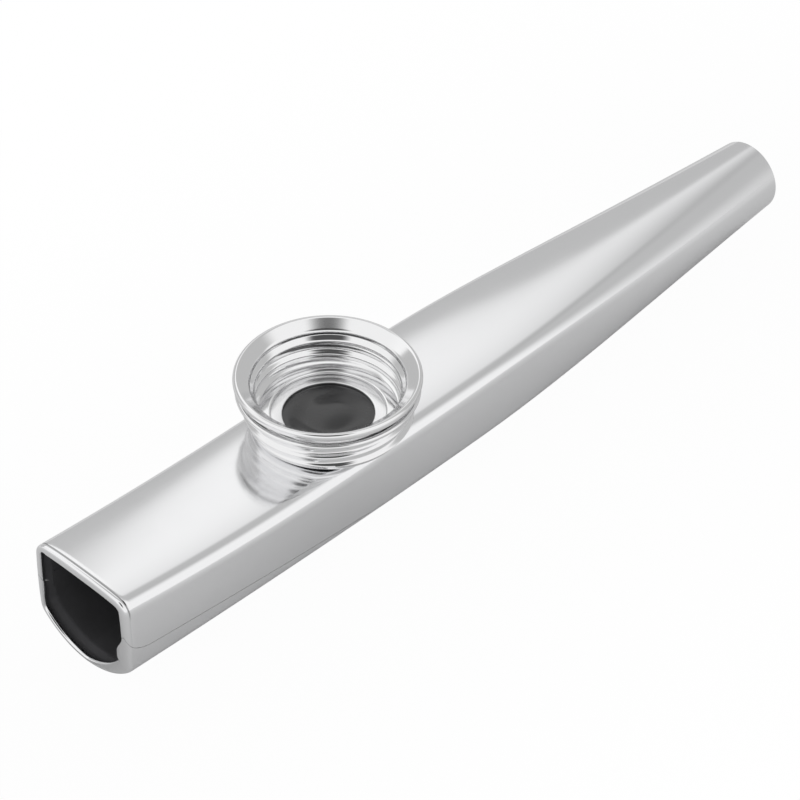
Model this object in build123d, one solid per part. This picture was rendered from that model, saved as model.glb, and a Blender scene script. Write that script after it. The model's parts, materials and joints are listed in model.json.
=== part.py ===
"""A metal kazoo: two pressed shells, a threaded collar, a screw cap and the membrane between them.

The origin lies under the middle of the body, on the surface that it rests on.
+X runs from the mouth end to the round exit, +Y across the body and +Z up.
"""
import os
from collections import namedtuple
from math import atan, cos, hypot, radians, sin, tan, tau

from build123d import *

# Body, in millimetres
body_length = 120.0
mouth_width = 16.1
turret_width = 17.2
exit_diameter = 10.0
body_height = 13.0
mouth_rise = 1.35
corner_radius = 2.0
edge_height = 2.35
exit_lean = 20.0
rest_length = 60.0
rest_depth = 0.2
sheet = 0.5
lip_radius = 1.1

# Seam between the two shells
seam_mouth_height = 8.8
seam_side_height = 6.1
seam_relief_length = 4.0
seam_fall_length = 75.0
seam_depth = 1.0
seam_gap = 0.06
lap_height = 1.6
step_height = 0.8

# Turret: the collar, fixed to the upper shell, and the cap that screws into it
turret_from_mouth = 40.0
turret_sheet = 0.45
thread_radius = 9.3
thread_pitch = 1.6
thread_depth = 0.55
thread_half_width = 0.5
thread_clearance = 0.15
collar_height = 5.3
collar_lip_radius = 11.3
cap_height = 6.1
cap_lip_radius = 11.5
cap_hole_radius = 7.0
cap_bead_radius = 0.55
bend_radius = 0.8
flare_radius = 1.0
flare_turn = 65.0
eyelet_radius = 5.9
eyelet_hem = 0.7
seat_gap = 0.05

# Membrane: a thin film bonded under a flat ring
ring_radius = 8.2
ring_hole_radius = 5.8
ring_thickness = 0.4
film_thickness = 0.1
film_gap = 0.03

# Places along the body
mouth_x = -body_length / 2
exit_x = body_length / 2
turret_x = mouth_x + turret_from_mouth
level_x = turret_x - thread_radius
rise_x = mouth_x + rest_length

# The round exit, level with the top
exit_radius = exit_diameter / 2
exit_bottom = body_height - exit_diameter

# Heights in the turret, above its seat on the upper shell
ledge_top = seat_gap + turret_sheet
film_bottom = ledge_top + film_gap
ring_bottom = film_bottom + film_thickness
cap_foot = ring_bottom + ring_thickness + film_gap
brim_rim = turret_sheet / sin(radians(flare_turn))

# How finely the body is cut into sections, the least bulge that is drawn, and how far cutting blocks reach
section_count = 20
least_bulge = 0.001
across = turret_width + cap_lip_radius
margin = body_height

# Shape of the body at one place: its reach, its corners and how far the ends of its sides lean
Shape = namedtuple("Shape", "wide top bottom centre_y upper_z lower_z radius lean low_lean")


def ease(share):
    """Smooth step from 0 to 1."""
    share = min(max(share, 0.0), 1.0)
    return share * share * (3 - 2 * share)


def half_width(x):
    """Half the body's outer width, widest at the turret and narrowing to the round exit."""
    if x < turret_x:
        share = (turret_x - x) / turret_from_mouth
        return turret_width / 2 - (turret_width - mouth_width) / 2 * share ** 2
    share = (x - turret_x) / (exit_x - turret_x)
    return turret_width / 2 - (turret_width / 2 - exit_radius) * share ** 2


def top_height(x):
    """Height of the body's top, level from the turret on and rising to the mouth."""
    share = max(level_x - x, 0.0) / (level_x - mouth_x)
    return body_height + mouth_rise * share ** 2


def body_shape(x):
    """Shape of the body at x: flat top and sides and a round belly, which all turn into one circle at the exit.

    The bottom is the lowest line of the underside, before its rest is pressed flat.
    """
    share = ease((x - rise_x) / (exit_x - rise_x))
    wide, top = half_width(x), top_height(x)
    radius = corner_radius + (exit_radius - corner_radius) * share
    edge = edge_height + (exit_bottom - edge_height) * share
    lower_z = edge + radius
    lean = radians(exit_lean) * share
    tilt = tan(lean / 2)
    centre_y = (wide - radius - tilt * (top - radius - lower_z) / 2) / (1 - tilt ** 2 / 2)
    upper_z = top - radius - tilt * centre_y
    belly_lean = 2 * atan((edge_height + rest_depth) / (half_width(min(x, rise_x)) - corner_radius))
    low_lean = belly_lean + (radians(exit_lean) - belly_lean) * share
    bottom = edge - centre_y * tan(low_lean / 2)
    return Shape(wide, top, bottom, centre_y, upper_z, lower_z, radius, lean, low_lean)


def arc_about(centre, radius, start, end):
    """Arc about a centre between two unit directions."""
    size = hypot(start[0] + end[0], start[1] + end[1])
    middle = ((start[0] + end[0]) / size, (start[1] + end[1]) / size)
    points = [(centre[0] + radius * way[0], centre[1] + radius * way[1]) for way in (start, middle, end)]
    return ThreePointArc(*points)


def side(start, peak, end):
    """One side of a section, bowed out to its peak, or straight where it has no bulge."""
    if hypot(peak[0] - (start.X + end.X) / 2, peak[1] - (start.Y + end.Y) / 2) < least_bulge:
        return Line(start, end)
    return ThreePointArc(start, peak, end)


def section(x, inset=0.0):
    """Face across the body at x, drawn inwards by an inset."""
    shape = body_shape(x)
    y, upper, lower = shape.centre_y, shape.upper_z, shape.lower_z
    radius = shape.radius - inset
    slight, full = sin(shape.lean), cos(shape.lean)
    under, down = sin(shape.low_lean), cos(shape.low_lean)
    reach, middle = shape.wide - inset, (upper + lower) / 2
    upper_right = arc_about((y, upper), radius, (slight, full), (full, slight))
    lower_right = arc_about((y, lower), radius, (full, -slight), (under, -down))
    lower_left = arc_about((-y, lower), radius, (-under, -down), (-full, -slight))
    upper_left = arc_about((-y, upper), radius, (-full, slight), (-slight, full))
    over = side(upper_left @ 1, (0, shape.top - inset), upper_right @ 0)
    right = side(upper_right @ 1, (reach, middle), lower_right @ 0)
    beneath = side(lower_right @ 1, (0, shape.bottom + inset), lower_left @ 0)
    left = side(lower_left @ 1, (-reach, middle), upper_left @ 0)
    outline = Wire([upper_right, right, lower_right, beneath, lower_left, left, upper_left, over])
    return Plane((x, 0, 0), x_dir=(0, 1, 0), z_dir=(1, 0, 0)) * Face(outline)


def press_flat(solid, level):
    """Take away what lies under a level, where the underside is pressed flat to rest on."""
    under = Box(body_length + margin, across, margin, align=(Align.CENTER, Align.CENTER, Align.MAX))
    return solid - Pos(0, 0, level) * under


def body_solid(inset):
    """The body behind its mouth lip, drawn inwards by an inset."""
    start = mouth_x + lip_radius
    step = (exit_x - start) / (section_count - 1)
    return loft([section(start + step * index, inset) for index in range(section_count)])


def lip_solid(inset):
    """The rolled mouth lip in front of the body: its outside, or with an inset its inside."""
    radius = lip_radius - inset
    sections = []
    for angle in (0, 30, 60, 90):
        x = mouth_x + lip_radius - radius * sin(radians(angle))
        sections.append(section(x, lip_radius - radius * cos(radians(angle))))
    return loft(sections)


def below_seam():
    """Everything under the seam, which drops behind the mouth, falls along the sides and runs on underneath."""
    fall_x = mouth_x + seam_fall_length
    mouth = (mouth_x, seam_mouth_height)
    flank = (mouth_x + seam_relief_length, seam_side_height)
    under = (fall_x, body_shape(fall_x).bottom + seam_depth)
    fall = (under[0] - flank[0], under[1] - flank[1])
    tail = []
    for share in (1 / 3, 2 / 3, 1):
        x = fall_x + (exit_x - fall_x) * share
        tail.append((x, body_shape(x).bottom + seam_depth))
    left, right = mouth_x - margin, exit_x + margin
    with BuildPart() as block:
        with BuildSketch(Plane.XZ):
            with BuildLine():
                relief = Spline(mouth, flank, tangents=((0, -1), fall))
                along = Line(relief @ 1, under)
                beneath = Spline(along @ 1, *tail)
                behind = Polyline(beneath @ 1, (right, tail[-1][1]), (right, -margin))
                Polyline(behind @ 1, (left, -margin), (left, mouth[1]), mouth)
            make_face()
        extrude(amount=across, both=True)
    return block.part


def thread_ridge(core, start, end, half_width):
    """Rounded ridge wound right-handed on a core radius, from a start to an end height."""
    root = core - turret_sheet / 2
    with BuildSketch(Plane.XZ) as profile:
        with BuildLine():
            crest = ThreePointArc((core, -half_width), (core + thread_depth, 0), (core, half_width))
            Polyline(crest @ 1, (root, half_width), (root, -half_width), crest @ 0)
        make_face()
    ridge = sweep(profile.sketch, path=Helix(thread_pitch, end - start, core), is_frenet=True)
    return Pos(0, 0, start) * Rot(0, 0, 360 * start / thread_pitch) * ridge


def flare_points(radius, start, lip, extra):
    """Middle and end of the bend of a flare above a wall, and the end of its straight brim at the lip.

    The extra is 0 outside the sheet and its thickness inside, so that both bends share one centre.
    """
    turn = radians(flare_turn)
    swing = flare_radius + extra
    points = [(radius + swing * (1 - cos(angle)), start + swing * sin(angle)) for angle in (turn / 2, turn)]
    bend_r, bend_z = points[1]
    return points + [(lip, bend_z + (lip - bend_r) / tan(turn))]


def cup(radius, foot, bend, start, lip, extra, top):
    """Solid inside a cup's outline: a bent foot, a straight wall and a flare that leans out to its lip."""
    points = flare_points(radius, start, lip, extra)
    with BuildPart() as solid:
        with BuildSketch(Plane.XZ):
            with BuildLine():
                floor = Line((0, foot), (radius - bend, foot))
                corner = arc_about((radius - bend, foot + bend), bend, (0, -1), (1, 0))
                wall = Line(corner @ 1, (radius, start))
                flare = ThreePointArc(wall @ 1, points[0], points[1])
                brim = Line(flare @ 1, points[2])
                Polyline(brim @ 1, (lip, top), (0, top), floor @ 0)
            make_face()
        revolve(axis=Axis.Z)
    return solid.part


def place_on_seat(solid):
    """Move a turret piece from its own axis to its seat on the upper shell."""
    return Pos(turret_x, 0, body_height) * solid


def disc(radius, bottom, thickness):
    """Flat round plate about the turret's axis."""
    return extrude(Pos(0, 0, bottom) * Circle(radius), amount=thickness)


def build_shells():
    """Upper and lower shell, cut along the seam from one hollow body, with the lower one stepped inside."""
    lap = sheet + seam_gap
    seam = below_seam()
    opening = extrude(section(mouth_x + sheet, lip_radius), amount=margin, dir=(-1, 0, 0))
    outside = press_flat(body_solid(0) + lip_solid(0), 0)
    inside = press_flat(body_solid(sheet) + lip_solid(sheet) + opening, sheet)
    walls = outside - inside
    upper = walls - Pos(seam_gap, 0, seam_gap) * seam
    upper -= place_on_seat(disc(eyelet_radius + seat_gap, -margin / 2, margin))
    strip = press_flat(body_solid(sheet / 2), sheet / 2) - press_flat(body_solid(lap + sheet), lap + sheet)
    strip = (strip & Pos(0, 0, lap_height) * seam) - Pos(0, 0, -step_height) * seam
    shoulder = body_solid(0) - body_solid(lap) - seam
    lower = (walls & seam) + (strip - shoulder)
    return upper, lower


def build_collar():
    """Collar with its rolled thread, flared rim, ledge and the eyelet that clinches it to the shell."""
    inner = thread_radius + thread_clearance
    outer = inner + turret_sheet
    groove = thread_half_width + thread_clearance
    lip_z = collar_height - brim_rim
    start = lip_z - flare_points(outer, 0, collar_lip_radius, 0)[2][1]
    thread_start = ledge_top + bend_radius
    thread_end = flare_points(inner, start, collar_lip_radius, turret_sheet)[1][1]
    end_wall = thread_pitch * turret_sheet / (tau * thread_radius)
    body = cup(outer, seat_gap, bend_radius, start, collar_lip_radius, 0, collar_height)
    body += thread_ridge(outer, thread_start, thread_end, groove)
    space = cup(inner, ledge_top, bend_radius - turret_sheet, start, collar_lip_radius, turret_sheet, margin)
    space += thread_ridge(inner, thread_start + end_wall, thread_end, groove)
    hem_bottom = -sheet - seat_gap - turret_sheet
    neck = disc(eyelet_radius, hem_bottom, ledge_top - hem_bottom)
    hem = disc(eyelet_radius + eyelet_hem, hem_bottom, turret_sheet)
    bore = disc(eyelet_radius - turret_sheet, -margin, 2 * margin)
    return place_on_seat(body - space + neck + hem - bore)


def build_cap():
    """Screw cap: a thread-rolled cup with a turned-in foot, a flare and a rolled lip."""
    inner = thread_radius - turret_sheet
    bead_r = cap_lip_radius - cap_bead_radius
    bead_z = cap_foot + cap_height - cap_bead_radius
    lip_z = bead_z - brim_rim / 2
    start = lip_z - flare_points(thread_radius, 0, bead_r, 0)[2][1]
    thread_start = cap_foot + bend_radius
    end_wall = thread_pitch * turret_sheet / (tau * thread_radius)
    body = cup(thread_radius, cap_foot, bend_radius, start, bead_r, 0, lip_z + brim_rim)
    body += thread_ridge(thread_radius, thread_start, start, thread_half_width)
    inner_foot = cap_foot + turret_sheet
    space = cup(inner, inner_foot, bend_radius - turret_sheet, start, bead_r, turret_sheet, margin)
    space += thread_ridge(inner, thread_start + end_wall, start - end_wall, thread_half_width)
    bead = revolve(Plane.XZ * Pos(bead_r, bead_z) * Circle(cap_bead_radius), axis=Axis.Z)
    return place_on_seat(body - space + bead - disc(cap_hole_radius, 0, margin))


def build_membrane():
    """Thin film bonded under its flat ring."""
    film = disc(ring_radius, film_bottom, film_thickness)
    ring = disc(ring_radius, ring_bottom, ring_thickness) - disc(ring_hole_radius, 0, margin)
    return place_on_seat(film), place_on_seat(ring)


upper_shell, lower_shell = build_shells()
membrane_film, membrane_ring = build_membrane()
pieces = {
    "upper_shell": upper_shell,
    "lower_shell": lower_shell,
    "collar": build_collar(),
    "screw_cap": build_cap(),
    "membrane_film": membrane_film,
    "membrane_ring": membrane_ring,
}
os.makedirs("parts", exist_ok=True)
for name, piece in pieces.items():
    export_step(piece, f"parts/{name}.step")
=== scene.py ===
"""Looks of a metal kazoo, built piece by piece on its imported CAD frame.

Everything is in metres in the frame of the CAD: +X from the mouth to the exit, +Y across, +Z up.
"""
import json
from cmath import phase, rect
from collections import namedtuple
from math import atan, atan2, ceil, copysign, cos, hypot, pi, radians, sin, tan, tau

import bpy
from bpy.props import FloatProperty, FloatVectorProperty, IntProperty, PointerProperty
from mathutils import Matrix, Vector


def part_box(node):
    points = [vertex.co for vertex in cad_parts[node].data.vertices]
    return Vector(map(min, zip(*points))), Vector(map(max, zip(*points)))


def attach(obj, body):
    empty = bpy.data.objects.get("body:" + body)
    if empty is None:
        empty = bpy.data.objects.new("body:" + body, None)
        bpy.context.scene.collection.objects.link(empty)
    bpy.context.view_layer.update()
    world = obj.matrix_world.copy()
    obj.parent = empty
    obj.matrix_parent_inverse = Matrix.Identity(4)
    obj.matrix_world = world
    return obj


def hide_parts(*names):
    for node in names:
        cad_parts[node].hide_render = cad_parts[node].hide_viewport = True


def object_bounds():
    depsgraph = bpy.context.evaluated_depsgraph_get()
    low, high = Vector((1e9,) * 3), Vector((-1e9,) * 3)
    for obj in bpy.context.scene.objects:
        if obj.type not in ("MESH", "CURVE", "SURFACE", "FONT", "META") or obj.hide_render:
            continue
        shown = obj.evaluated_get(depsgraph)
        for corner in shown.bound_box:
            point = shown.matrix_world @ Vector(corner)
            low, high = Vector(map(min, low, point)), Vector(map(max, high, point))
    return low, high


bl_info = {
    "name": "Kazoo builder",
    "version": (1, 0, 0),
    "blender": (4, 5, 0),
    "location": "3D View > Sidebar > Kazoo",
    "description": "Models a metal kazoo and its studio on a packed CAD frame",
    "category": "Object",
}

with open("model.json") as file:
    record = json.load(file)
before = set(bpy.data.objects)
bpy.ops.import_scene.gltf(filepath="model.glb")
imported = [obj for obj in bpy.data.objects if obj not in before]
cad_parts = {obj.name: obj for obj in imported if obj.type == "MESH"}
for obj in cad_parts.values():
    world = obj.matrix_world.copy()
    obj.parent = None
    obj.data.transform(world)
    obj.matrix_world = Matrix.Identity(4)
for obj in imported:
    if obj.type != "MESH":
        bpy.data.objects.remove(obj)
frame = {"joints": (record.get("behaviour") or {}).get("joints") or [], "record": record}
cad_low, cad_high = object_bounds()
ring_low, ring_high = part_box("membrane_ring")
film_low, film_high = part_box("membrane_film")
cap_low, cap_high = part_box("screw_cap")
collar_low, collar_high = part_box("collar")
seat = Vector(next(joint["pos_m"] for joint in frame["joints"] if joint["name"] == "cap_turn"))
lift_per_turn = frame["record"]["behaviour"]["couplings"][0]["ratio"] * tau

# Places along X: the mouth, the exit, the turret, and where the top and the underside start to rise
Places = namedtuple("Places", "mouth exit turret level rise")
# Shape of the body at one place: its reach and corners, how the ends of its sides lean and how its top bows
Shape = namedtuple("Shape", "wide top bottom centre_y upper_z lower_z radius lean low_lean bow edge_bow fall")

# Steps along the parts of half the body's outline, and along lines that are spaced anew
TOP_STEPS, CORNER_STEPS, SIDE_STEPS, EDGE_STEPS, BELLY_STEPS = 24, 14, 24, 24, 32
UPPER_SIDE_STEPS, LOWER_STEPS, LAP_STEPS = 22, 44, 8
# Rows in the rolled lip and behind it, and how close the first of these lie, where 1 is even
LIP_ROWS, BODY_ROWS, FIRST_ROWS = 24, 96, 0.35
# Section of the lip, where 2 is an ellipse and more is squarer, and the share of the sheet that is left in it
LIP_SQUARENESS, LIP_SHEET = 2.6, 0.3
# Share of the groove's depth at each step along it
GROOVE = (0.0, 0.25, 1.0, 0.25)
# Gap between the lap and the sheet over it, as a share of the seam's gap
LAP_GAP = 0.6
# Steps in a bend, a bead, a sheet's round edge and a ring's corner, and the longest straight step in metres
BEND_STEPS, BEAD_STEPS, ROUND_STEPS, RING_STEPS, LONGEST_STEP = 8, 24, 6, 5, 0.00009
# Points closer than these are one point: in a spun outline, and where a sheet meets its bead
SAME_POINT, SAME_CREASE = 2e-6, 1e-5
# Steps from the film's middle outwards and round it, and shares of the ring's hole where its folds end and grow
FILM_RINGS, FILM_STEPS, FOLD_END, FOLD_GROWTH = 40, 128, 0.92, 0.5
# Waves of the folds: radians per metre along X and along Y, where each starts, and its height
FOLDS = ((450, 260, 0.6, 1.0), (-180, 620, 1.9, 0.6))
# Edges sharper than these stay sharp
SHELL_CREASE, TURRET_CREASE = radians(40), radians(50)


def length(name, description, default):
    """A size in metres for a property group."""
    return FloatProperty(name=name, description=description, default=default, min=0.0, precision=5, unit="LENGTH")


def angle(name, description, degrees, least=-180.0):
    """An angle, given in degrees, for a property group."""
    return FloatProperty(
        name=name, description=description, default=radians(degrees), min=radians(least), subtype="ANGLE")


def factor(name, description, default, least=0.0, most=1.0):
    """A plain number for a property group."""
    return FloatProperty(
        name=name, description=description, default=default, min=least, max=most, subtype="FACTOR")


def tint(name, description, default):
    """A linear colour for a property group."""
    return FloatVectorProperty(
        name=name, description=description, default=default, min=0.0, max=1.0, subtype="COLOR")


class KazooBodySizes(bpy.types.PropertyGroup):
    """Sizes of the two pressed shells and the seam between them."""

    body_length: length("Length", "Length from the mouth to the exit", cad_high.x - cad_low.x)
    mouth_width: length("Mouth width", "Outside width at the mouth", 0.0161)
    turret_width: length("Turret width", "Outside width where the turret stands", 0.0172)
    exit_diameter: length("Exit diameter", "Outside diameter of the round exit", 0.010)
    body_height: length("Height", "Height of the flat top over the rest", seat.z)
    mouth_rise: length("Mouth rise", "How much the top rises to the mouth", 0.00135)
    corner_radius: length("Corner radius", "Radius of the long corners", 0.002)
    edge_height: length("Edge height", "Where the sides turn into the belly", 0.00235)
    crown: angle("Crown", "How far the sides bow, as the lean of their ends", 3.5, 0.001)
    top_bow: angle("Top bow", "How far the top bows evenly, as the lean of its edges", 2.0, 0.001)
    top_edge_bow: angle("Top edge bow", "How much further the edges of the top lean", 4.5)
    exit_lean: angle("Exit lean", "Share of the exit circle that each side takes either way", 20)
    rest_length: length("Rest length", "Length of the flat rest from the mouth", 0.060)
    rest_depth: length("Rest depth", "How deep the rest is pressed into the belly", 0.0002)
    sheet: length("Sheet", "Thickness of the shells", 0.0005)
    lip_radius: length("Lip radius", "Reach of the rolled mouth lip", 0.0015)
    lip_depth: length("Lip depth", "How far behind the mouth the upper lip starts to turn in", 0.00055)
    lip_groove: length("Lip groove", "Depth of the fine groove behind the upper lip", 0.00008)
    lip_far: factor("Lip far", "How much further the upper lip turns in at the +Y side", -0.45, -1.0)
    lower_lip_hem: factor("Lower lip hem", "Share of the lip's reach that the lower lip has at the belly", 0.42)
    lower_lip_near: factor("Lower lip near", "How much further the lower lip turns in at the -Y side", 1.3, 0.0, 2.0)
    lower_lip_far: factor("Lower lip far", "How much further the lower lip turns in at the +Y side", 0.05)
    lower_lip_notch: length("Lower lip notch", "Height under the seam in which the lower lip changes width", 0.0024)
    seam_mouth_height: length("Seam at mouth", "Height of the seam at the mouth", 0.0088)
    seam_side_height: length("Seam at side", "Height of the seam just behind the mouth", 0.0061)
    seam_relief_length: length("Seam relief", "Length over which the seam drops behind the mouth", 0.004)
    seam_fall_length: length("Seam fall", "Where the seam reaches the underside", 0.075)
    seam_depth: length("Seam depth", "Height of the seam over the underside", 0.001)
    seam_gap: length("Seam gap", "Open gap along the seam", 0.00006)
    lap_height: length("Lap height", "How far the lower shell laps inside the upper one", 0.0016)
    step_height: length("Step height", "Depth of the step that the lap springs from", 0.0008)
    turret_from_mouth: length("Turret place", "Distance of the turret's axis from the mouth", seat.x - cad_low.x)
    level_reach: length("Level reach", "How far before the turret's axis the top starts to rise", 0.0093)
    eyelet_radius: length("Eyelet radius", "Radius of the hole under the turret", 0.00595)


class KazooTurretSizes(bpy.types.PropertyGroup):
    """Sizes of the collar and of the cap that screws into it."""

    sheet: length("Sheet", "Thickness of the turret's sheet", 0.00045)
    thread_radius: length("Thread radius", "Outside radius of the cap's wall", 0.0093)
    thread_pitch: length("Thread pitch", "Rise of the thread in one turn", lift_per_turn)
    thread_depth: length("Thread depth", "How far the rolled thread stands out", 0.00055)
    thread_half_width: length("Thread half width", "Half the width of one rolled ridge", 0.00062)
    thread_clearance: length("Thread clearance", "Gap between the cap's and the collar's walls", 0.00015)
    collar_lip_radius: length(
        "Collar lip", "Outside radius of the collar's lip", (collar_high.x - collar_low.x) / 2)
    collar_height: length("Collar height", "Height of the collar over its seat", collar_high.z - seat.z)
    collar_bead_radius: length("Collar bead", "Radius of the collar's rolled lip", 0.00034)
    cap_lip_radius: length("Cap lip", "Outside radius of the cap's lip", (cap_high.x - cap_low.x) / 2)
    cap_foot: length("Cap foot", "Height of the cap's foot over the seat", cap_low.z - seat.z)
    cap_top: length("Cap top", "Height of the cap's lip over the seat", cap_high.z - seat.z)
    cap_hole_radius: length("Cap hole", "Radius of the hole in the cap's foot", 0.007)
    cap_bead_width: length("Cap bead width", "Width of the cap's rolled lip", 0.00085)
    cap_bead_height: length("Cap bead height", "Height of the cap's rolled lip", 0.0011)
    cap_neck_step: length("Cap neck step", "How far the cap's wall steps out under its brim", 0.0006)
    cap_neck_height: length("Cap neck height", "Height of the plain neck between that step and the brim", 0.0005)
    cap_bend_radius: length("Cap bend radius", "Middle radius of the bends at the cap's step and brim", 0.0004)
    bend_radius: length("Bend radius", "Middle radius of the bend at the foot", 0.0006)
    flare_radius: length("Flare radius", "Middle radius of the bend under the collar's brim", 0.0005)
    flare_turn: angle("Flare turn", "How far the brims lean out from the wall", 54)
    seat_gap: length("Seat gap", "Gap between the collar and the shell", 0.00005)
    eyelet_radius: length("Eyelet radius", "Outside radius of the collar's neck", 0.0059)
    eyelet_hem: length("Eyelet hem", "How far the neck's hem spreads under the shell", 0.0007)
    eyelet_bevel: length("Eyelet bevel", "Bevel at the ends of the collar's neck", 0.0002)
    steps: IntProperty(name="Steps", description="Faces round the turret", default=192, min=24, subtype="UNSIGNED")


class KazooMembraneSizes(bpy.types.PropertyGroup):
    """Sizes of the film and its ring."""

    ring_radius: length("Ring radius", "Outside radius of the ring and the film", (ring_high.x - ring_low.x) / 2)
    ring_hole_radius: length("Ring hole", "Radius of the hole that shows the film", 0.00565)
    ring_edge: length("Ring edge", "Rounding of the ring's edges", 0.00012)
    film_slack: length("Film slack", "Height of the shallow folds in the film", 0.0005)


class KazooFinish(bpy.types.PropertyGroup):
    """Colours and gloss of the finishes, with shade painted into the inside of the body, into the groove behind the
    lip and partly into the film.
    """

    shell_colour: tint("Shell", "Satin aluminium of the shells", (0.91, 0.912, 0.92))
    shell_roughness: factor("Shell roughness", "Blur of the shells' reflections", 0.13)
    shell_grain: factor("Shell grain", "Strength of the shells' draw marks", 0.08)
    # Painted shade in the groove behind the lip: the share of the shell's colour left there
    painted_groove_shade: factor("Groove shade", "Share of the shell's colour left in the groove behind the lip", 0.35)
    turret_colour: tint("Turret", "Bright metal of the collar, the cap and the ring", (0.90, 0.90, 0.905))
    turret_roughness: factor("Turret roughness", "Blur of the turret's reflections", 0.1)
    turret_grain: factor("Turret grain", "Strength of the draw marks on the turret and the ring", 0.1)
    ring_roughness: factor("Ring roughness", "Blur of the ring's reflections", 0.16)
    # Painted shade: the inside of the body gets a dark colour for the light that does not reach it
    painted_shade_inside_colour: tint("Inside", "Dull, unlit metal inside the body", (0.12, 0.12, 0.126))
    # Partly the film's own tint, partly painted shade of the unlit body seen through the thin film
    film_tint_and_shade: tint("Film", "Dark plastic of the membrane", (0.024, 0.024, 0.025))
    film_roughness: factor("Film roughness", "Blur of the film's reflections", 0.14)


class KazooStudio(bpy.types.PropertyGroup):
    """Camera, floor and light."""

    lens: FloatProperty(name="Lens", description="Focal length in millimetres", default=138.31, unit="CAMERA")
    distance: length("Distance", "From the camera to what it looks at", 0.384)
    azimuth: angle("Azimuth", "Camera's turn round the object", -45.323)
    elevation: angle("Elevation", "Camera's angle over the floor", 40.41)
    target: FloatVectorProperty(
        name="Target", description="Point in the middle of the picture", default=(-0.00763, 0.0, 0.00848),
        subtype="XYZ", unit="LENGTH")
    floor_colour: tint("Floor", "Pale floor", (0.76, 0.76, 0.76))
    floor_gleam: factor("Floor gleam", "How white metal sees the floor far from the object", 0.3)
    floor_reach: length("Floor reach", "Distance from the object at which the floor is plain white", 0.09)
    ambience: factor("Ambience", "Strength of the light from all round", 0.6)
    key_azimuth: angle("Key azimuth", "Softbox's turn round the object", 169)
    key_elevation: angle("Key elevation", "Softbox's angle over the floor", 56)
    key_distance: length("Key distance", "From the softbox to the object", 0.9)
    key_size: length("Key size", "Diameter of the softbox", 1.1)
    key_radiance: factor("Key radiance", "Brightness of the softbox", 0.5)
    side_azimuth: angle("Side azimuth", "Direction of the grey side that metal sees", 129)
    screen_azimuth: angle("Screen azimuth", "Direction in which the screen on that side grows brighter", 190)
    stand_elevation: angle("Stand elevation", "Camera stand's angle over the floor", 52)


def fresh_start():
    """Object mode with nothing selected, so that an operator acts on the new piece alone."""
    if bpy.context.object and bpy.context.object.mode != "OBJECT":
        bpy.ops.object.mode_set(mode="OBJECT")
    bpy.ops.object.select_all(action="DESELECT")


def ease(share):
    """Smooth step from 0 to 1."""
    share = min(max(share, 0.0), 1.0)
    return share * share * (3 - 2 * share)


def places(size):
    """Where the parts of the body lie along X."""
    mouth = -size.body_length / 2
    turret = mouth + size.turret_from_mouth
    return Places(mouth, -mouth, turret, turret - size.level_reach, mouth + size.rest_length)


def half_width(size, x):
    """Half the body's width, widest at the turret and narrowing to the exit."""
    at = places(size)
    full = size.turret_width / 2
    if x < at.turret:
        return full - (full - size.mouth_width / 2) * ((at.turret - x) / (at.turret - at.mouth)) ** 2
    return full - (full - size.exit_diameter / 2) * ((x - at.turret) / (at.exit - at.turret)) ** 2


def body_shape(size, x):
    """Shape of the body at x: flat top and sides and a round belly, which turn into one circle at the exit."""
    at = places(size)
    share = ease((x - at.rise) / (at.exit - at.rise))
    exit_radius = size.exit_diameter / 2
    wide = half_width(size, x)
    top = size.body_height + size.mouth_rise * (max(at.level - x, 0.0) / (at.level - at.mouth)) ** 2
    radius = size.corner_radius + (exit_radius - size.corner_radius) * share
    edge = size.edge_height + (size.body_height - size.exit_diameter - size.edge_height) * share
    lower_z = edge + radius
    lean = size.crown + (size.exit_lean - size.crown) * share
    bow = size.top_bow + (size.exit_lean - size.top_bow) * share
    edge_bow = size.top_edge_bow * (1 - share)
    tilt = tan(lean / 2)
    centre_y = (wide - radius - tilt * (top - radius - lower_z) / 2) / (1 - tilt ** 2 / 2)
    fall = (centre_y + radius * sin(bow + edge_bow)) * (bow / 2 + edge_bow / 4)
    upper_z = top - fall - radius * cos(bow + edge_bow)
    centre_y = wide - radius - tilt * (upper_z - lower_z) / 2
    flat = half_width(size, min(x, at.rise)) - size.corner_radius
    belly_lean = 2 * atan((size.edge_height + size.rest_depth) / flat)
    low_lean = belly_lean + (size.exit_lean - belly_lean) * share
    bottom = edge - centre_y * tan(low_lean / 2)
    return Shape(wide, top, bottom, centre_y, upper_z, lower_z, radius, lean, low_lean, bow, edge_bow, fall)


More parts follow.
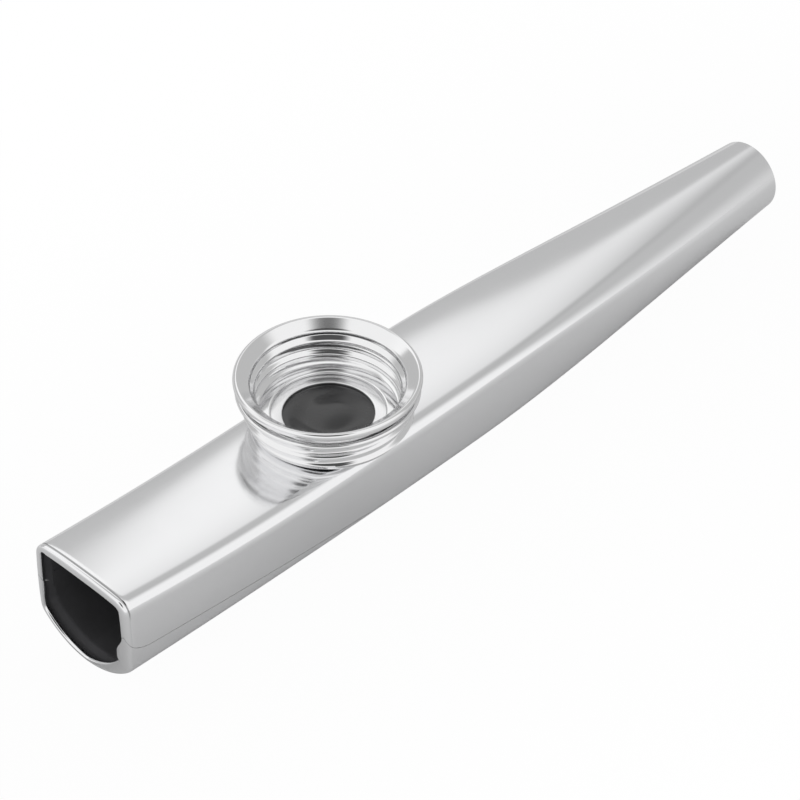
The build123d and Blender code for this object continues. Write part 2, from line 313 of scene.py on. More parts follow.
def half_outline(size, x, inset, hem=1.0, spread=0.0):
    """The +Y half of the body's outline at x, drawn in by a share of an inset, its hem.

    A spread makes that share larger at the sides. It comes in three lines: the top, its corner, and the rest down to
    the belly.
    """
    shape = body_shape(size, x)

    def arc(centre_y, centre_z, radius, start, end, steps):
        """Points of an arc, with angles from straight up towards +Y."""
        turns = [start + (end - start) * step / steps for step in range(steps + 1)]
        reach = [radius - inset * (hem + spread * abs(sin(turn))) for turn in turns]
        return [(centre_y + far * sin(turn), centre_z + far * cos(turn)) for far, turn in zip(reach, turns)]

    y, lean, low = shape.centre_y, shape.lean, pi - shape.low_lean
    edge = shape.bow + shape.edge_bow
    top = []
    for step in range(TOP_STEPS + 1):
        share = step / TOP_STEPS
        turn = shape.bow * share + shape.edge_bow * share ** 3
        fall = shape.bow * share ** 2 / 2 + shape.edge_bow * share ** 4 / 4
        far = inset * (hem + spread * abs(sin(turn)))
        across = (y + shape.radius * sin(edge)) * share - far * sin(turn)
        top.append((across, shape.top - shape.fall * fall / (shape.bow / 2 + shape.edge_bow / 4) - far * cos(turn)))
    beside = shape.radius + (shape.upper_z - shape.lower_z) / 2 / sin(lean)
    under = shape.radius + y / sin(shape.low_lean)
    middle = (shape.upper_z + shape.lower_z) / 2
    corner = arc(y, shape.upper_z, shape.radius, edge, pi / 2 - lean, CORNER_STEPS)
    rest = arc(shape.wide - beside, middle, beside, pi / 2 - lean, pi / 2 + lean, SIDE_STEPS)
    rest += arc(y, shape.lower_z, shape.radius, pi / 2 + lean, low, EDGE_STEPS)[1:]
    rest += arc(0, shape.bottom + under, under, low, pi, BELLY_STEPS)[1:]
    return top, corner, rest


def spaced(points, count):
    """The same line with its points evenly spaced."""
    reach = [0.0]
    for one, two in zip(points, points[1:]):
        reach.append(reach[-1] + hypot(two[0] - one[0], two[1] - one[1]))
    line, index = [], 0
    for step in range(count + 1):
        wanted = reach[-1] * step / count
        while index < len(points) - 2 and reach[index + 1] < wanted:
            index += 1
        share = (wanted - reach[index]) / max(reach[index + 1] - reach[index], 1e-12)
        one, two = points[index], points[index + 1]
        line.append((one[0] + (two[0] - one[0]) * share, one[1] + (two[1] - one[1]) * share))
    return line


def cut_at(points, height):
    """The parts of a falling line above and below a height, which both keep the point between."""
    for index, (one, two) in enumerate(zip(points, points[1:])):
        if two[1] <= height:
            share = min(max((one[1] - height) / max(one[1] - two[1], 1e-12), 0.0), 1.0)
            between = (one[0] + (two[0] - one[0]) * share, height)
            return points[:index + 1] + [between], [between] + points[index + 1:]
    return points, points[-1:]


def seam_height(size, x):
    """Height of the seam at x: it drops behind the mouth, falls along the sides and runs on underneath."""
    mouth = places(size).mouth
    relief, fall = mouth + size.seam_relief_length, mouth + size.seam_fall_length
    if x < relief:
        share = 1 - (x - mouth) / size.seam_relief_length
        drop = 1 - max(1 - share ** 2, 0.0) ** 0.5
        return size.seam_side_height + (size.seam_mouth_height - size.seam_side_height) * drop
    if x < fall:
        low = body_shape(size, fall).bottom + size.seam_depth
        share = (x - relief) / (fall - relief)
        return size.seam_side_height + (low - size.seam_side_height) * share
    return body_shape(size, x).bottom + size.seam_depth


def stations(size, groove):
    """Places along the body with the inset of the rolled mouth lip there, from the lip's inner edge to the exit.

    The lip is a round, and behind it lies a fine groove of some depth, or none.
    """
    at = places(size)
    line, power, start = [], 2 / LIP_SQUARENESS, at.mouth + size.lip_depth
    for step in range(LIP_ROWS):
        turn = pi * (1 - step / LIP_ROWS)
        forward, outward = sin(turn) ** power, copysign(abs(cos(turn)) ** power, cos(turn))
        line.append((at.mouth + size.lip_depth * (1 - forward), size.lip_radius * (1 - outward) / 2))
    if groove:
        line += [(start + step * groove, share * groove) for step, share in enumerate(GROOVE)]
        start += len(GROOVE) * groove
    for step in range(BODY_ROWS + 1):
        share = step / BODY_ROWS
        share = share * (FIRST_ROWS + (1 - FIRST_ROWS) * share) if share < 1 else 1.0
        line.append((start + (at.exit - start) * share, 0.0))
    return line


def formed_sheet(name, rows, sheet, finishes, thin_reach=0.0):
    """A flat grid pressed into shape, one row of points for each place along it, and thickened on the inside.

    The first finish goes on the outside and the edges, and the second on the inside. Within a reach of its front,
    the sheet is drawn thinner.
    """
    fresh_start()
    along, across = len(rows) - 1, len(rows[0]) - 1
    first, last = min(row[0][0] for row in rows), rows[-1][0][0]
    bpy.ops.mesh.primitive_grid_add(x_subdivisions=along, y_subdivisions=across, size=2)
    piece = bpy.context.object
    piece.name = piece.data.name = name
    full = piece.vertex_groups.new(name="full sheet")
    for vertex in piece.data.vertices:
        row = round((vertex.co.x + 1) / 2 * along)
        vertex.co = rows[row][round((vertex.co.y + 1) / 2 * across)]
        full.add([vertex.index], 1.0 if vertex.co.x >= first + thin_reach else LIP_SHEET, "REPLACE")
    for finish in finishes:
        piece.data.materials.append(finish)
    solid = piece.modifiers.new("sheet", "SOLIDIFY")
    solid.thickness = sheet
    solid.vertex_group = full.name
    solid.offset = -1
    solid.material_offset = 1
    bpy.ops.object.modifier_apply(modifier=solid.name)
    piece.vertex_groups.clear()
    for vertex in piece.data.vertices:
        vertex.co.x = min(max(vertex.co.x, first), last)
    return piece


def smooth(piece, crease):
    """Shade a piece smoothly, apart from edges sharper than a crease."""
    fresh_start()
    piece.select_set(True)
    bpy.context.view_layer.objects.active = piece
    bpy.ops.object.shade_smooth_by_angle(angle=crease)


def settle(piece, node, body):
    """Put a finished piece in the place of its CAD node."""
    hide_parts(node)
    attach(piece, body)


def turned(name, outline, steps, finish):
    """A closed outline of radii and heights over the seat, spun about the turret's axis."""
    fresh_start()
    bpy.ops.mesh.primitive_circle_add(vertices=len(outline), radius=1)
    piece = bpy.context.object
    piece.name = piece.data.name = name
    piece.data.materials.append(finish)
    for vertex, (radius, height) in zip(piece.data.vertices, outline):
        vertex.co = (seat.x + radius, seat.y, seat.z + height)
    bpy.ops.object.mode_set(mode="EDIT")
    bpy.ops.mesh.select_all(action="SELECT")
    bpy.ops.mesh.spin(steps=steps, angle=tau, center=tuple(seat), axis=(0, 0, 1))
    bpy.ops.mesh.select_all(action="SELECT")
    bpy.ops.mesh.remove_doubles(threshold=SAME_POINT)
    bpy.ops.mesh.normals_make_consistent(inside=False)
    bpy.ops.object.mode_set(mode="OBJECT")
    return piece


def roll_thread(piece, size, low, high, widest):
    """Press a right-hand thread into a turned wall between two heights, on both faces of its sheet."""
    for vertex in piece.data.vertices:
        reach = Vector((vertex.co.x - seat.x, vertex.co.y - seat.y))
        height = vertex.co.z - seat.z
        if reach.length > widest or not low < height < high:
            continue
        offset = (height - size.thread_pitch * atan2(reach.y, reach.x) / tau) % size.thread_pitch
        offset = min(offset, size.thread_pitch - offset)
        if offset >= size.thread_half_width:
            continue
        crest = (1 + cos(pi * offset / size.thread_half_width)) / 2
        fade = ease((height - low) / size.thread_depth) * ease((high - height) / size.thread_depth)
        swell = size.thread_depth * crest * fade / reach.length
        vertex.co.x += reach.x * swell
        vertex.co.y += reach.y * swell


def bent_path(corners):
    """Points along the middle of a bent strip, each with its direction, as complex numbers of radius and height.

    Each corner is a radius, a height and the radius that the strip is bent to there.
    """
    stops = [complex(radius, height) for radius, height, bend in corners]
    ways = [(two - one) / abs(two - one) for one, two in zip(stops, stops[1:])]
    path = [(stops[0], ways[0])]
    for index, way in enumerate(ways):
        start, end, arc = path[-1][0], stops[index + 1], []
        if index + 1 < len(ways):
            bend, turn = corners[index + 1][2], phase(ways[index + 1] / way)
            end -= way * bend * tan(abs(turn) / 2)
            spoke = way * bend * (1j if turn > 0 else -1j)
            turns = [rect(1, turn * step / BEND_STEPS) for step in range(1, BEND_STEPS + 1)]
            arc = [(end + spoke - spoke * swing, way * swing) for swing in turns]
        count = ceil(abs(end - start) / LONGEST_STEP)
        path += [(start + (end - start) * step / count, way) for step in range(1, count + 1)] + arc
    return path


def brim_end(middle, turn, sheet, bead_out, bead_up):
    """Where the middle of a sheet's brim ends that leans out by a turn and whose inside runs into an oval bead."""
    inwards = complex(-cos(turn), sin(turn))
    reach = hypot(bead_out * cos(turn), bead_up * sin(turn))
    touch = complex(-bead_out ** 2 * cos(turn), bead_up ** 2 * sin(turn)) / reach
    return middle + touch - inwards * sheet / 2


def cup_outline(corners, sheet, middle, bead_out, bead_up):
    """Closed outline of a cup of sheet that follows bent corners, with a round edge first and an oval bead last.

    The inside of the sheet runs smoothly into the bead, and the outside meets it in a crease.
    """
    def rounded(point):
        """The same place where the bead is a circle of radius 1."""
        return complex(point.real / bead_out, point.imag / bead_up)

    path, half = bent_path(corners), sheet / 2
    outer = [point - 1j * way * half for point, way in path]
    inner = [point + 1j * way * half for point, way in path]
    end, way = outer[-1], path[-1][1]
    start, stride = rounded(end - middle), rounded(way)
    square, along = abs(stride) ** 2, (start * stride.conjugate()).real
    reach = (-along - (along ** 2 - square * (abs(start) ** 2 - 1)) ** 0.5) / square
    first, last = phase(start + reach * stride), phase(rounded(inner[-1] - middle))
    if last < first:
        last += tau
    turns = [first + (last - first) * step / BEAD_STEPS for step in range(BEAD_STEPS)]
    roll = [middle + complex(bead_out * cos(turn), bead_up * sin(turn)) for turn in turns]
    outer = [point for point in outer if ((point - end) * way.conjugate()).real < reach - SAME_CREASE]
    edge = [path[0][0] + rect(half, pi / 2 + pi * step / ROUND_STEPS) for step in range(1, ROUND_STEPS)]
    return [(point.real, point.imag) for point in outer + roll + inner[::-1] + edge]


class Shader:
    """A socket in a material's node tree, on which arithmetic adds Math nodes."""

    def __init__(self, tree, socket=None):
        self.tree = tree
        self.socket = socket

    def node(self, kind, settings=None, output=0, **inputs):
        """Add a node of a kind, set it up and fill its sockets with values or links; returns one of its outputs.

        An input is named with _ for each space, or by _ and its number.
        """
        made = self.tree.nodes.new(kind)
        for name, value in (settings or {}).items():
            setattr(made, name, value)
        for name, value in inputs.items():
            key = int(name[1:]) if name[1:].isdigit() else name.replace("_", " ")
            if isinstance(value, Shader):
                self.tree.links.new(value.socket, made.inputs[key])
            else:
                made.inputs[key].default_value = value
        return Shader(self.tree, made.outputs[output])

    def maths(self, operation, one, two=0.0):
        """A Math node on two values or links."""
        return self.node("ShaderNodeMath", {"operation": operation}, _0=one, _1=two)

    def vector(self, operation, one, two=(0.0, 0.0, 0.0), output="Vector"):
        """A Vector Math node on two vectors or links."""
        return self.node("ShaderNodeVectorMath", {"operation": operation}, output, _0=one, _1=two)

    def __add__(self, other):
        return self.maths("ADD", self, other)

    __radd__ = __add__

    def __sub__(self, other):
        return self.maths("SUBTRACT", self, other)

    def __rsub__(self, other):
        return self.maths("SUBTRACT", other, self)

    def __mul__(self, other):
        return self.maths("MULTIPLY", self, other)

    __rmul__ = __mul__

    def mixed(self, one, two):
        """A colour between two, with this value as the share of the second."""
        return self.node("ShaderNodeMix", {"data_type": "RGBA"}, output=2, _0=self, _6=one, _7=two)

    def between(self, low, high):
        """This value's smooth step from 0 at a low value to 1 at a high one."""
        return self.node("ShaderNodeMapRange", {"interpolation_type": "SMOOTHSTEP"}, Value=self, From_Min=low,
                         From_Max=high)


def new_finish(name):
    """A plain material, its Principled shader, a Shader to add nodes with, and the place on the object."""
    material = bpy.data.materials.new(name)
    material.use_nodes = True
    make = Shader(material.node_tree)
    place = make.node("ShaderNodeTexCoord", output="Object")
    return material, make.tree.nodes["Principled BSDF"], make, place


def link(shader, socket):
    """Feed a socket of a node that is there already."""
    shader.tree.links.new(shader.socket, socket)


def ray_kinds(make):
    """Whether a ray comes from the camera, from a gloss or through something clear."""
    kinds = ("Is Camera Ray", "Is Glossy Ray", "Is Transmission Ray")
    return [make.node("ShaderNodeLightPath", output=kind) for kind in kinds]


def grey(level):
    """An even grey with alpha."""
    return (level, level, level, 1.0)


def flat_colour(colour, share=1.0):
    """A property's colour, made lighter or darker, with alpha."""
    return (colour[0] * share, colour[1] * share, colour[2] * share, 1.0)


def satin_metal(name, colour, roughness, grain, groove=None, shade=1.0):
    """Bare metal with fine lengthwise draw marks and faint smears in its gloss.

    In a groove, shade is painted into its colour, so that only a share of the colour is left there. That band lies
    between two X and fades in between two Z.
    """
    uneven = 0.05
    material, surface, make, place = new_finish(name)
    drawn = make.node("ShaderNodeMapping", Vector=place, Scale=(180.0, 5200.0, 5200.0))
    lines = make.node("ShaderNodeTexNoise", Vector=drawn, Scale=1.0, Detail=3.0, Roughness=0.6)
    smears = make.node("ShaderNodeTexNoise", Vector=place, Scale=140.0, Detail=4.0, Roughness=0.55)
    paint = (smears * 0.6 + lines * 0.4).mixed(flat_colour(colour, 0.97), flat_colour(colour))
    # Painted shade: the colour is darkened in the groove behind the lip
    if groove:
        along, up = [make.node("ShaderNodeSeparateXYZ", output=axis, Vector=place) for axis in "XZ"]
        start, end, low, high = groove
        middle = (start + end) / 2
        depth = along.between(start, middle) * (1 - along.between(middle, end)) * up.between(low, high)
        paint = depth.mixed(paint, flat_colour(colour, shade))
    link(paint, surface.inputs["Base Color"])
    link(roughness + (smears - 0.5) * uneven + (lines - 0.5) * uneven, surface.inputs["Roughness"])
    relief = make.node("ShaderNodeBump", Height=lines, Strength=grain, Distance=0.000002)
    link(relief, surface.inputs["Normal"])
    surface.inputs["Metallic"].default_value = 1.0
    return material


def painted_shade_inside(name, colour):
    """Dull metal with shade painted into its dark colour, where the light does not reach inside the body, and a
    faint mottle.
    """
    material, surface, make, place = new_finish(name)
    mottle = make.node("ShaderNodeTexNoise", Vector=place, Scale=420.0, Detail=4.0)
    link(mottle.mixed(flat_colour(colour, 0.8), flat_colour(colour, 1.2)), surface.inputs["Base Color"])
    link(0.5 + mottle * 0.15, surface.inputs["Roughness"])
    surface.inputs["Metallic"].default_value = 0.4
    surface.inputs["Specular IOR Level"].default_value = 0.2
    return material


def film_finish(name, colour, roughness):
    """Thin dark plastic with soft uneven gloss. Its dark colour is partly the film's own tint and partly painted
    shade of the unlit body seen through it.
    """
    material, surface, make, place = new_finish(name)
    cloud = make.node("ShaderNodeTexNoise", Vector=place, Scale=260.0, Detail=3.0)
    link(cloud.mixed(flat_colour(colour, 0.8), flat_colour(colour, 1.25)), surface.inputs["Base Color"])
    link(roughness + (cloud - 0.5) * 0.12, surface.inputs["Roughness"])
    surface.inputs["Specular IOR Level"].default_value = 0.7
    return material


class KAZOO_OT_upper_shell(bpy.types.Operator):
    """Press the upper shell: top, sides and rolled mouth lip down to the seam, with the hole under the turret"""

    bl_idname = "kazoo.upper_shell"
    bl_label = "Upper shell"

    def execute(self, context):
        size, look = context.scene.kazoo_body, context.scene.kazoo_finish
        rows = []
        for x, inset in stations(size, size.lip_groove):
            row = []
            for side, spread in ((-1, 0.0), (1, size.lip_far)):
                top, corner, rest = half_outline(size, x, inset, 1.0, spread)
                rest = cut_at(rest, seam_height(size, x) + size.seam_gap / 2)[0]
                half = top + corner[1:] + spaced(rest, UPPER_SIDE_STEPS)[1:]
                row += [(x, side * y, z) for y, z in (half if side > 0 else half[:0:-1])]
            rows.append(row)
        start, high = places(size).mouth + size.lip_depth, size.body_height
        # Band behind the lip where shade is painted into the upper shell's colour
        groove = (start, start + len(GROOVE) * size.lip_groove, high - size.corner_radius, high)
        metal = satin_metal("satin_aluminium_upper", look.shell_colour, look.shell_roughness, look.shell_grain,
                            groove, look.painted_groove_shade)
        inside = painted_shade_inside("dull_inside_upper", look.painted_shade_inside_colour)
        shell = formed_sheet("upper_shell_metal", rows, size.sheet, [metal, inside], size.lip_radius)
        fresh_start()
        bpy.ops.mesh.primitive_cylinder_add(
            vertices=96, radius=size.eyelet_radius, depth=size.corner_radius * 2, location=tuple(seat))
        punch = context.object
        cut = shell.modifiers.new("eyelet hole", "BOOLEAN")
        cut.object = punch
        cut.operation = "DIFFERENCE"
        context.view_layer.objects.active = shell
        bpy.ops.object.modifier_apply(modifier=cut.name)
        bpy.data.objects.remove(punch)
        smooth(shell, SHELL_CREASE)
        settle(shell, "upper_shell", "body")
        return {"FINISHED"}


class KAZOO_OT_lower_shell(bpy.types.Operator):
    """Press the lower shell: the belly and rolled mouth lip up to the seam, with the stepped laps inside it"""

    bl_idname = "kazoo.lower_shell"
    bl_label = "Lower shell"

    def execute(self, context):
        size, look = context.scene.kazoo_body, context.scene.kazoo_finish
        rows, laps = [], {1: [], -1: []}
        sides = ((1, size.lip_far, size.lower_lip_far), (-1, 0.0, size.lower_lip_near))
        for x, inset in stations(size, 0.0):
            seam = seam_height(size, x)
            row = []
            for side, above, spread in sides:
                plain = half_outline(size, x, inset, 1.0, above)[2]
                rolled = half_outline(size, x, inset, size.lower_lip_hem, spread)[2]
                shares = [ease((seam - point[1]) / size.lower_lip_notch) for point in plain]
                rest = [(one[0] + (two[0] - one[0]) * share, one[1] + (two[1] - one[1]) * share)
                        for one, two, share in zip(plain, rolled, shares)]
                half = spaced(cut_at(rest, seam - size.seam_gap / 2)[1], LOWER_STEPS)
                row += [(x, side * y, max(z, 0.0)) for y, z in (half if side > 0 else half[-2::-1])]
            rows.append(row)
            if inset == 0 and x > places(size).mouth + size.lip_radius:
                deep = half_outline(size, x, size.sheet + LAP_GAP * size.seam_gap)[2]
                deep = cut_at(deep, seam + size.lap_height)[1]
                deep = spaced(cut_at(deep, seam - size.step_height)[0], LAP_STEPS)
                for side, line in laps.items():
                    line.append([(x, side * y, z) for y, z in deep])
        inside = painted_shade_inside("dull_inside_lower", look.painted_shade_inside_colour)
        metal = satin_metal("satin_aluminium_lower", look.shell_colour, look.shell_roughness, look.shell_grain)
        tray = formed_sheet("lower_shell_metal", rows, size.sheet, [metal, inside], size.lip_radius)
        strips = [tray]
        for side, line in laps.items():
            line = line if side < 0 else [row[::-1] for row in line]
            strips.append(formed_sheet("lap", line, size.sheet, [inside, inside]))
        fresh_start()
        for strip in strips:
            strip.select_set(True)
        context.view_layer.objects.active = tray
        bpy.ops.object.join()
        smooth(tray, SHELL_CREASE)
        settle(tray, "lower_shell", "body")
        return {"FINISHED"}


class KAZOO_OT_collar(bpy.types.Operator):
    """Spin the collar: ledge, thread-rolled wall, flared brim with a rolled lip, and the eyelet through the shell"""

    bl_idname = "kazoo.collar"
    bl_label = "Collar"

    def execute(self, context):
        size, look = context.scene.kazoo_turret, context.scene.kazoo_finish
        body = context.scene.kazoo_body
        wall = size.thread_radius + size.thread_clearance + size.sheet / 2
        ledge = size.seat_gap + size.sheet / 2
        bead = size.collar_bead_radius
        lip = complex(size.collar_lip_radius - bead, size.collar_height - bead)
        end = brim_end(lip, size.flare_turn, size.sheet, bead, bead)
        bore, first = size.eyelet_radius - size.sheet, size.eyelet_radius + size.sheet
        outline = cup_outline([
            (first, ledge, 0),
            (wall, ledge, size.bend_radius),
            (wall, end.imag - (end.real - wall) / tan(size.flare_turn), size.flare_radius),
            (end.real, end.imag, 0),
        ], size.sheet, lip, bead, bead)
        outline = [point for point in outline if point[0] >= first - SAME_POINT]
        bevel, top = size.eyelet_bevel, size.seat_gap + size.sheet
        hem, hem_top = size.eyelet_radius + size.eyelet_hem, -body.sheet - size.seat_gap
        hem_foot = hem_top - size.sheet
        neck = [(size.eyelet_radius + bevel, top), (bore, top - bevel), (bore, hem_foot + bevel)]
        neck += [(bore + bevel, hem_foot), (hem - bevel, hem_foot), (hem, hem_top - size.sheet / 2)]
        neck += [(hem - bevel / 2, hem_top), (size.eyelet_radius, hem_top), (size.eyelet_radius, size.seat_gap)]
        metal = satin_metal("bright_metal_collar", look.turret_colour, look.turret_roughness, look.turret_grain)
        collar = turned("collar_metal", outline + neck, size.steps, metal)
        low, high = top + size.bend_radius / 2, size.collar_height - 2 * bead
        roll_thread(collar, size, low, high, size.collar_lip_radius - 2 * bead)
        smooth(collar, TURRET_CREASE)
        settle(collar, "collar", "body")
        return {"FINISHED"}


class KAZOO_OT_screw_cap(bpy.types.Operator):
    """Spin the screw cap: turned-in foot, thread-rolled wall and flared brim with a rolled lip"""

    bl_idname = "kazoo.screw_cap"
    bl_label = "Screw cap"

    def execute(self, context):
        size, look = context.scene.kazoo_turret, context.scene.kazoo_finish
        foot, wall = size.cap_foot + size.sheet / 2, size.thread_radius - size.sheet / 2
        bead_out, bead_up = size.cap_bead_width / 2, size.cap_bead_height / 2
        lip = complex(size.cap_lip_radius - bead_out, size.cap_top - bead_up)
        end = brim_end(lip, size.flare_turn, size.sheet, bead_out, bead_up)
        neck = wall + size.cap_neck_step
        brim = end.imag - (end.real - neck) / tan(size.flare_turn)
        step = brim - size.cap_neck_height
        wall_top = step - size.cap_neck_step
        outline = cup_outline([
            (size.cap_hole_radius + size.sheet / 2, foot, 0),
            (wall, foot, size.bend_radius),
            (wall, wall_top, size.cap_bend_radius),
            (neck, step, size.cap_bend_radius),
            (neck, brim, size.cap_bend_radius),
            (end.real, end.imag, 0),
        ], size.sheet, lip, bead_out, bead_up)
        metal = satin_metal("bright_metal_cap", look.turret_colour, look.turret_roughness, look.turret_grain)
        cap = turned("screw_cap_metal", outline, size.steps, metal)
        roll_thread(cap, size, size.cap_foot + size.sheet, wall_top, size.thread_radius + size.sheet)
        smooth(cap, TURRET_CREASE)
        settle(cap, "screw_cap", "cap")
        return {"FINISHED"}


class KAZOO_OT_membrane_ring(bpy.types.Operator):
    """Spin the flat ring that the film is bonded under"""

    bl_idname = "kazoo.membrane_ring"
    bl_label = "Membrane ring"

    def execute(self, context):
        size, look = context.scene.kazoo_membrane, context.scene.kazoo_finish
        low, high = ring_low.z - seat.z, ring_high.z - seat.z
        round_off = size.ring_edge
        corners = [
            ((size.ring_radius - round_off, low + round_off), -pi / 2),
            ((size.ring_radius - round_off, high - round_off), 0.0),
            ((size.ring_hole_radius + round_off, high - round_off), pi / 2),
            ((size.ring_hole_radius + round_off, low + round_off), pi),
        ]
        outline = []
        for (radius, height), start in corners:
            turns = [start + pi / 2 * step / RING_STEPS for step in range(RING_STEPS + 1)]
            outline += [(radius + round_off * cos(turn), height + round_off * sin(turn)) for turn in turns]
        metal = satin_metal("bright_metal_ring", look.turret_colour, look.ring_roughness, look.turret_grain)
        ring = turned("membrane_ring_metal", outline, context.scene.kazoo_turret.steps, metal)
        smooth(ring, SHELL_CREASE)
        settle(ring, "membrane_ring", "membrane")
        return {"FINISHED"}


class KAZOO_OT_membrane_film(bpy.types.Operator):
    """Spin the thin film and let it sag into shallow folds inside its ring"""

    bl_idname = "kazoo.membrane_film"
    bl_label = "Membrane film"

    def execute(self, context):
        size, look = context.scene.kazoo_membrane, context.scene.kazoo_finish
        low, high = film_low.z - seat.z, film_high.z - seat.z
        top = [(size.ring_radius * step / FILM_RINGS, high) for step in range(FILM_RINGS + 1)]
        bottom = [(radius, low) for radius, height in top[::-1]]
        plastic = film_finish("dark_film", look.film_tint_and_shade, look.film_roughness)
        film = turned("membrane_film_plastic", top + bottom, FILM_STEPS, plastic)
        for vertex in film.data.vertices:
            across = Vector((vertex.co.x - seat.x, vertex.co.y - seat.y))
            share = across.length / size.ring_hole_radius
            if share >= FOLD_END:
                continue
            slack = size.film_slack * ease((FOLD_END - share) / FOLD_GROWTH)
            fold = sum(tall * sin(across.x * by_x + across.y * by_y + start) for by_x, by_y, start, tall in FOLDS)
            vertex.co.z += slack * (0.45 * fold - 0.5)
        smooth(film, SHELL_CREASE)
        settle(film, "membrane_film", "membrane")
        return {"FINISHED"}


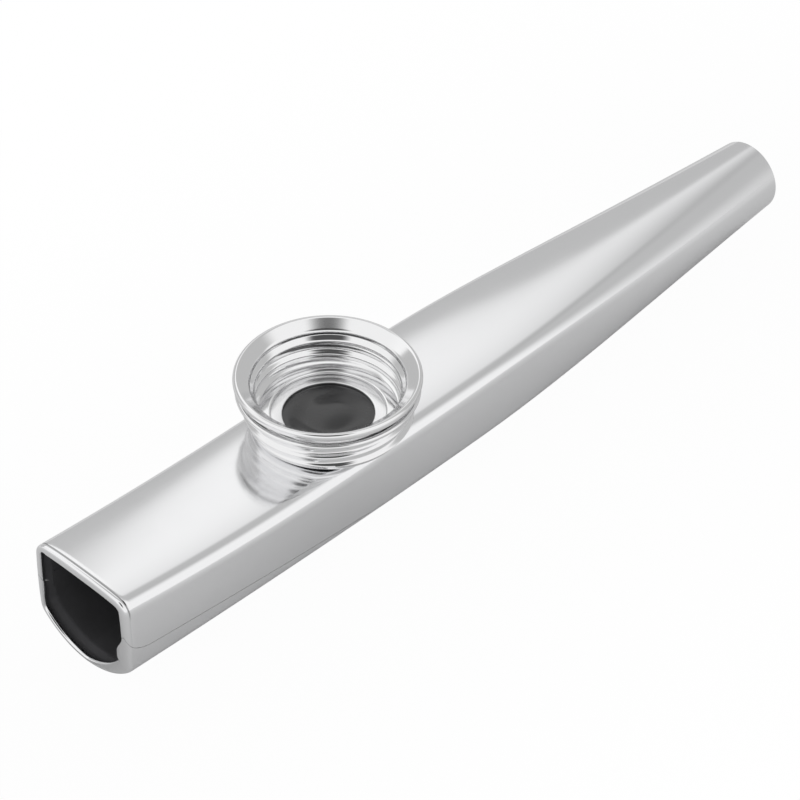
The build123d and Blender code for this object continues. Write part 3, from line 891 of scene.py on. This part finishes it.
class KAZOO_OT_studio(bpy.types.Operator):
    """Set up the pale floor, the soft studio light and the camera"""

    bl_idname = "kazoo.studio"
    bl_label = "Studio"

    def execute(self, context):
        studio = context.scene.kazoo_studio
        fresh_start()
        bpy.ops.mesh.primitive_plane_add(size=8.0, location=(0, 0, 0))
        floor = context.object
        floor.name = "studio_floor"
        floor.data.materials.append(self.floor_finish(studio))
        back = self.aim(studio.azimuth, studio.elevation)
        self.light_all_round(context, studio)
        key = self.aim(studio.key_azimuth, studio.key_elevation)
        self.softbox("key_softbox", key * studio.key_distance, studio.key_size, studio.key_radiance)
        lens = bpy.data.cameras.new("studio_camera")
        lens.lens = studio.lens
        lens.sensor_width = 36.0
        camera = bpy.data.objects.new("studio_camera", lens)
        context.scene.collection.objects.link(camera)
        camera.location = Vector(studio.target) + back * studio.distance
        camera.rotation_euler = (-back).to_track_quat("-Z", "Y").to_euler()
        lens.clip_start, lens.clip_end = 0.01, 50.0
        context.scene.camera = camera
        context.scene.view_settings.view_transform = "Standard"
        return {"FINISHED"}

    def aim(self, azimuth, elevation):
        """Direction from the object, turned round it from -Y towards +X and raised over the floor."""
        return Vector((sin(azimuth) * cos(elevation), -cos(azimuth) * cos(elevation), sin(elevation)))

    def floor_finish(self, studio):
        """Pale floor that keeps the shadow near the object and is plain white further out."""
        near_white = 0.97
        material, surface, make, place = new_finish("pale_floor")
        beyond = make.vector("SUBTRACT", make.vector("ABSOLUTE", place), (cad_high.x, 0.0, 0.0))
        away = make.vector("LENGTH", make.vector("MAXIMUM", beyond), output="Value")
        camera, glossy, through = ray_kinds(make)
        far = away.between(0.0, studio.floor_reach)
        mirrored = make.maths("MAXIMUM", studio.floor_gleam * glossy, through) * far
        white = make.maths("MAXIMUM", camera * (near_white + (1 - near_white) * far), mirrored)
        surface.inputs["Base Color"].default_value = flat_colour(studio.floor_colour)
        surface.inputs["Roughness"].default_value = 0.9
        surface.inputs["Specular IOR Level"].default_value = 0.0
        glow = make.node("ShaderNodeEmission", Color=(1.0, 1.0, 1.0, 1.0), Strength=1.0)
        plain = Shader(make.tree, surface.outputs[0])
        mixed = make.node("ShaderNodeMixShader", _0=white, _1=plain, _2=glow)
        link(mixed, make.tree.nodes["Material Output"].inputs["Surface"])
        return material

    def light_all_round(self, context, studio):
        """A world that lights evenly and looks white to the camera.

        Metal sees a white backdrop in it with one grey side, a long bright screen across that side, and the dark
        camera stand.
        """
        backdrop_grey, side_grey, stand_grey = grey(0.97), grey(0.54), grey(0.08)
        side_edge, stand_edge = (0.02, 0.25), (cos(radians(26)), cos(radians(14)))
        screen_low, screen_high, screen_tilt = (0.673, 0.713), (0.77, 0.84), 0.2
        screen_start, screen_gain, screen_least, screen_most = 0.53, 1.1, 0.5, 1.03
        world = bpy.data.worlds.new("studio_world")
        context.scene.world = world
        world.use_nodes = True
        tree = world.node_tree
        make = Shader(tree)
        camera, glossy, through = ray_kinds(make)
        way = make.node("ShaderNodeTexCoord", output="Generated")
        height = make.node("ShaderNodeSeparateXYZ", output="Z", Vector=way)
        aims = ((studio.side_azimuth, 0.0), (studio.screen_azimuth, 0.0), (studio.azimuth, studio.stand_elevation))
        side, across, stand = [make.vector("DOT_PRODUCT", way, tuple(self.aim(*aim)), "Value") for aim in aims]
        screen = (height + screen_tilt * across).between(*screen_low) * (1 - height.between(*screen_high))
        glow = make.maths("MINIMUM", screen_start + screen_gain * across, screen_most)
        glow = make.maths("MAXIMUM", glow, screen_least)
        backdrop = side.between(*side_edge).mixed(backdrop_grey, screen.mixed(side_grey, glow))
        backdrop = stand.between(*stand_edge).mixed(backdrop, stand_grey)
        colour = make.maths("MAXIMUM", glossy, through).mixed(grey(studio.ambience), backdrop)
        link(camera.mixed(colour, grey(1.0)), tree.nodes["Background"].inputs["Color"])

    def softbox(self, name, place, size, radiance):
        """A round area lamp of one brightness that faces the object; metal sees the world's screen in its place."""
        lamp = bpy.data.lights.new(name, "AREA")
        lamp.shape = "DISK"
        lamp.size = size
        lamp.energy = radiance * pi * pi * (size / 2) ** 2
        box = bpy.data.objects.new(name, lamp)
        bpy.context.scene.collection.objects.link(box)
        box.location = place
        box.visible_glossy = False
        box.rotation_euler = (Vector((seat.x, 0, seat.z)) - Vector(place)).to_track_quat("-Z", "Y").to_euler()


class KAZOO_PT_panel(bpy.types.Panel):
    """Sidebar list of the kazoo's pieces and sizes"""

    bl_idname = "KAZOO_PT_panel"
    bl_label = "Kazoo"
    bl_space_type = "VIEW_3D"
    bl_region_type = "UI"
    bl_category = "Kazoo"

    def draw(self, context):
        for operator in steps_in_order:
            self.layout.operator(operator.bl_idname)
        for name in groups:
            box = self.layout.box()
            group = getattr(context.scene, name)
            for field in group.__annotations__:
                box.prop(group, field)


groups = {
    "kazoo_body": KazooBodySizes,
    "kazoo_turret": KazooTurretSizes,
    "kazoo_membrane": KazooMembraneSizes,
    "kazoo_finish": KazooFinish,
    "kazoo_studio": KazooStudio,
}
steps_in_order = [
    KAZOO_OT_studio,
    KAZOO_OT_upper_shell,
    KAZOO_OT_lower_shell,
    KAZOO_OT_collar,
    KAZOO_OT_membrane_film,
    KAZOO_OT_membrane_ring,
    KAZOO_OT_screw_cap,
]


def register():
    """Register the classes and hang the property groups on the scene."""
    for kind in [*groups.values(), *steps_in_order, KAZOO_PT_panel]:
        bpy.utils.register_class(kind)
    for name, kind in groups.items():
        setattr(bpy.types.Scene, name, PointerProperty(type=kind))


def unregister():
    """Take everything off again."""
    for name in groups:
        delattr(bpy.types.Scene, name)
    for kind in [KAZOO_PT_panel, *reversed(steps_in_order), *reversed(list(groups.values()))]:
        bpy.utils.unregister_class(kind)


def main():
    """Build every piece in order."""
    register()
    bpy.ops.kazoo.studio()
    bpy.ops.kazoo.upper_shell()
    bpy.ops.kazoo.lower_shell()
    bpy.ops.kazoo.collar()
    bpy.ops.kazoo.membrane_film()
    bpy.ops.kazoo.membrane_ring()
    bpy.ops.kazoo.screw_cap()


if __name__ == "__main__":
    main()
